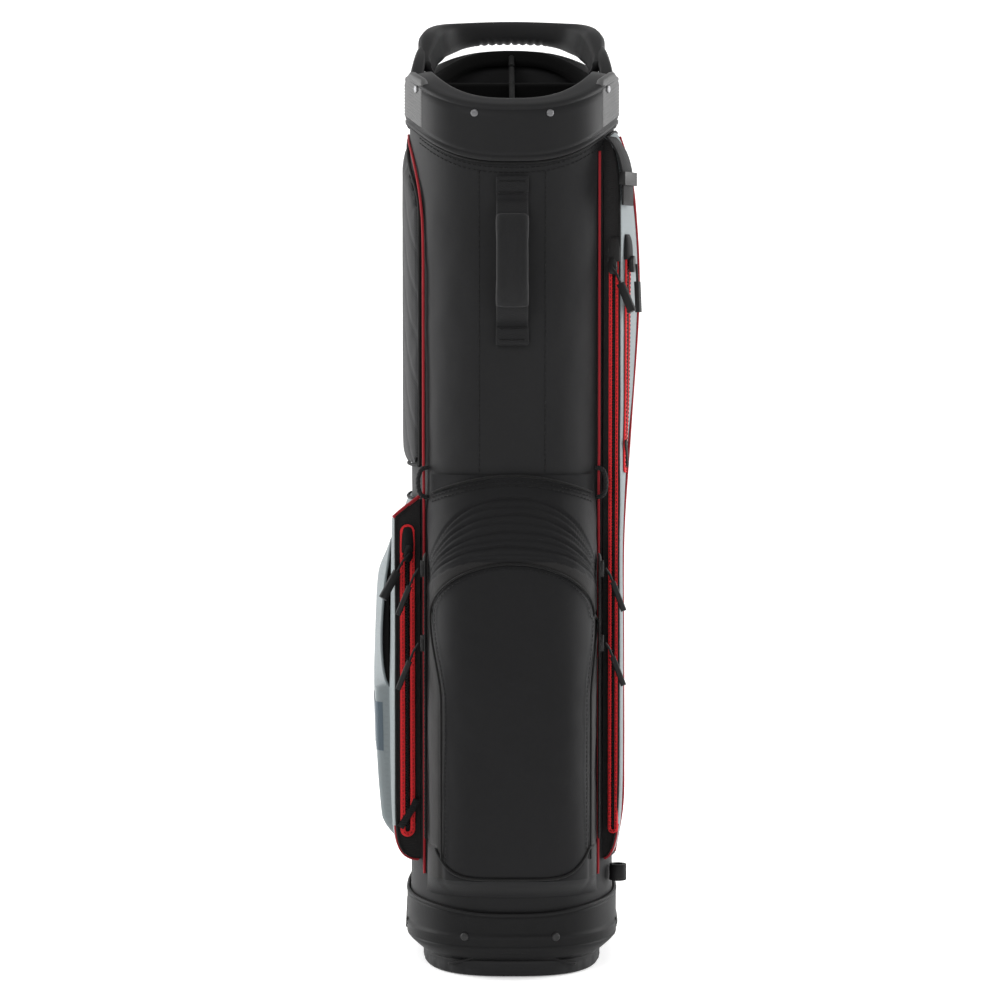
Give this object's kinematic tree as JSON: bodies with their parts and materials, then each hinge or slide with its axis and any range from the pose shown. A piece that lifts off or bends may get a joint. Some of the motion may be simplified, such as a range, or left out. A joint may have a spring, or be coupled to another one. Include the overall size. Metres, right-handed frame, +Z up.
{
  "type": "golf stand bag",
  "caption": "Oval golf stand bag with moulded collar and boot, sewn pockets, a double shoulder strap and two legs pushed out by a foot treadle.",
  "frame": {"origin": "on the floor under the middle of the tube, on the sole's flat underside", "axes": "+Z up along the tube, -Y towards the ball pocket, +Y towards the legs and straps, +X to the full-length pocket"},
  "size_m": [0.2481, 0.2994, 0.889],
  "materials": {
    "tube_fabric": "matt woven polyester",
    "divider_fabric": "matt lining",
    "collar_moulding": "satin moulded",
    "boot_moulding": "fine-grained moulded",
    "sole_rubber": "matt rubber",
    "handle_rubber": "soft-touch rubber",
    "rivet_steel": "satin steel",
    "webbing": "ribbed woven webbing",
    "padded_black": "padded knit",
    "pocket_black": "matt woven polyester",
    "pocket_silver": "coated ripstop, satin",
    "mesh_grey": "spacer mesh",
    "leg_aluminium": "black anodised",
    "zip_metal": "black enamelled",
    "pull_rubber": "moulded grip on a cord"
  },
  "bodies": {
    "bag": {"body_tube": "tube_fabric", "collar": "collar_moulding", "club_dividers": "divider_fabric", "boot": "boot_moulding", "sole": "sole_rubber", "top_handle": "handle_rubber", "collar_rivet_front_left": "rivet_steel", "collar_rivet_front_right": "rivet_steel", "collar_rivet_side_left": "rivet_steel", "collar_rivet_side_right": "rivet_steel", "grab_handle_webbing": "webbing", "grab_handle_sleeve": "padded_black", "ball_pocket": "pocket_black", "ball_pocket_bellows": "pocket_black", "left_pocket": "pocket_silver", "left_pouch": "pocket_silver", "right_pocket": "pocket_silver", "side_pad": "mesh_grey", "hip_pad": "mesh_grey", "shoulder_pad_left": "padded_black", "strap_webbing_upper_left": "webbing", "strap_webbing_lower_left": "webbing", "shoulder_pad_right": "padded_black", "strap_webbing_upper_right": "webbing", "strap_webbing_lower_right": "webbing", "leg_pin_left": "rivet_steel", "leg_pin_right": "rivet_steel", "leg_bracket": "boot_moulding", "treadle_pin": "rivet_steel", "strap_loop_left": "webbing", "strap_loop_right": "webbing", "umbrella_cup": "boot_moulding", "adjuster_webbing": "webbing", "adjuster_buckle": "boot_moulding"},
    "treadle": {"treadle": "boot_moulding", "treadle_pad": "sole_rubber"},
    "actuator": {"actuator_wire": "rivet_steel", "actuator_yoke": "boot_moulding"},
    "leg_left": {"leg_knuckle_left": "boot_moulding", "leg_tube_left": "leg_aluminium", "leg_foot_left": "sole_rubber"},
    "leg_right": {"leg_knuckle_right": "boot_moulding", "leg_tube_right": "leg_aluminium", "leg_foot_right": "sole_rubber"},
    "ball_zip_upper_left_slider": {"ball_zip_upper_left_slider": "zip_metal"},
    "ball_zip_upper_left_pull": {"ball_zip_upper_left_pull": "pull_rubber"},
    "ball_zip_lower_left_slider": {"ball_zip_lower_left_slider": "zip_metal"},
    "ball_zip_lower_left_pull": {"ball_zip_lower_left_pull": "pull_rubber"},
    "ball_zip_upper_right_slider": {"ball_zip_upper_right_slider": "zip_metal"},
    "ball_zip_upper_right_pull": {"ball_zip_upper_right_pull": "pull_rubber"},
    "ball_zip_lower_right_slider": {"ball_zip_lower_right_slider": "zip_metal"},
    "ball_zip_lower_right_pull": {"ball_zip_lower_right_pull": "pull_rubber"},
    "left_zip_slider": {"left_zip_slider": "zip_metal"},
    "left_zip_pull": {"left_zip_pull": "pull_rubber"},
    "right_long_zip_slider": {"right_long_zip_slider": "zip_metal"},
    "right_long_zip_pull": {"right_long_zip_pull": "pull_rubber"},
    "right_panel_zip_slider": {"right_panel_zip_slider": "zip_metal"},
    "right_panel_zip_pull": {"right_panel_zip_pull": "pull_rubber"}
  },
  "joints": [
    {"name": "treadle_hinge", "type": "hinge", "parent": "bag", "child": "treadle", "pos_m": [0, 0.03, 0.008], "axis": [1, 0, 0], "range_deg": [0, 22], "stiffness_Nm_per_rad": 2, "springref_deg": -28.65},
    {"name": "actuator_slide", "type": "slide", "parent": "bag", "child": "actuator", "axis": [0, 0, 1], "range_m": [0, 0.033]},
    {"name": "leg_left_swing", "type": "hinge", "parent": "bag", "child": "leg_left", "pos_m": [-0.058, 0.118, 0.745], "axis": [0.9146, 0.3994, -0.0625], "range_deg": [0, 38]},
    {"name": "leg_right_swing", "type": "hinge", "parent": "bag", "child": "leg_right", "pos_m": [0.058, 0.118, 0.745], "axis": [0.9146, -0.3994, 0.0625], "range_deg": [0, 38]},
    {"name": "ball_zip_upper_left_run", "type": "slide", "parent": "bag", "child": "ball_zip_upper_left_slider", "axis": [0, 0, -1], "range_m": [0, 0.02]},
    {"name": "ball_zip_upper_left_pull_swing", "type": "hinge", "parent": "ball_zip_upper_left_slider", "child": "ball_zip_upper_left_pull", "pos_m": [-0.08485, -0.10064, 0.374], "axis": [0, 1, 0], "range_deg": [0, 100]},
    {"name": "ball_zip_lower_left_run", "type": "slide", "parent": "bag", "child": "ball_zip_lower_left_slider", "axis": [0, 0, -1], "range_m": [0, 0.17]},
    {"name": "ball_zip_lower_left_pull_swing", "type": "hinge", "parent": "ball_zip_lower_left_slider", "child": "ball_zip_lower_left_pull", "pos_m": [-0.08485, -0.10064, 0.306], "axis": [0, 1, 0], "range_deg": [0, 100]},
    {"name": "ball_zip_upper_right_run", "type": "slide", "parent": "bag", "child": "ball_zip_upper_right_slider", "axis": [0, 0, -1], "range_m": [0, 0.02]},
    {"name": "ball_zip_upper_right_pull_swing", "type": "hinge", "parent": "ball_zip_upper_right_slider", "child": "ball_zip_upper_right_pull", "pos_m": [0.08485, -0.10064, 0.374], "axis": [0, -1, 0], "range_deg": [0, 100]},
    {"name": "ball_zip_lower_right_run", "type": "slide", "parent": "bag", "child": "ball_zip_lower_right_slider", "axis": [0, 0, -1], "range_m": [0, 0.17]},
    {"name": "ball_zip_lower_right_pull_swing", "type": "hinge", "parent": "ball_zip_lower_right_slider", "child": "ball_zip_lower_right_pull", "pos_m": [0.08485, -0.10064, 0.306], "axis": [0, -1, 0], "range_deg": [0, 100]},
    {"name": "left_zip_run", "type": "slide", "parent": "bag", "child": "left_zip_slider", "axis": [0, 0, -1], "range_m": [0, 0.24]},
    {"name": "left_zip_pull_swing", "type": "hinge", "parent": "left_zip_slider", "child": "left_zip_pull", "pos_m": [-0.09374, -0.07962, 0.386], "axis": [0, 1, 0], "range_deg": [0, 100]},
    {"name": "right_long_zip_run", "type": "slide", "parent": "bag", "child": "right_long_zip_slider", "axis": [0, 0, -1], "range_m": [0, 0.5]},
    {"name": "right_long_zip_pull_swing", "type": "hinge", "parent": "right_long_zip_slider", "child": "right_long_zip_pull", "pos_m": [0.09014, -0.07983, 0.648], "axis": [0, -1, 0], "range_deg": [0, 100]},
    {"name": "right_panel_zip_run", "type": "slide", "parent": "bag", "child": "right_panel_zip_slider", "axis": [0, 0, -1], "range_m": [0, 0.17]},
    {"name": "right_panel_zip_pull_swing", "type": "hinge", "parent": "right_panel_zip_slider", "child": "right_panel_zip_pull", "pos_m": [0.1135, -0.06779, 0.65], "axis": [-0.3355, -0.942, 0], "range_deg": [0, 100]}
  ],
  "couplings": [
    {"joint": "actuator_slide", "follows": "treadle_hinge", "m_per_rad": 0.0845},
    {"joint": "leg_left_swing", "follows": "treadle_hinge", "ratio": 1.7272},
    {"joint": "leg_right_swing", "follows": "treadle_hinge", "ratio": 1.7272}
  ]
}
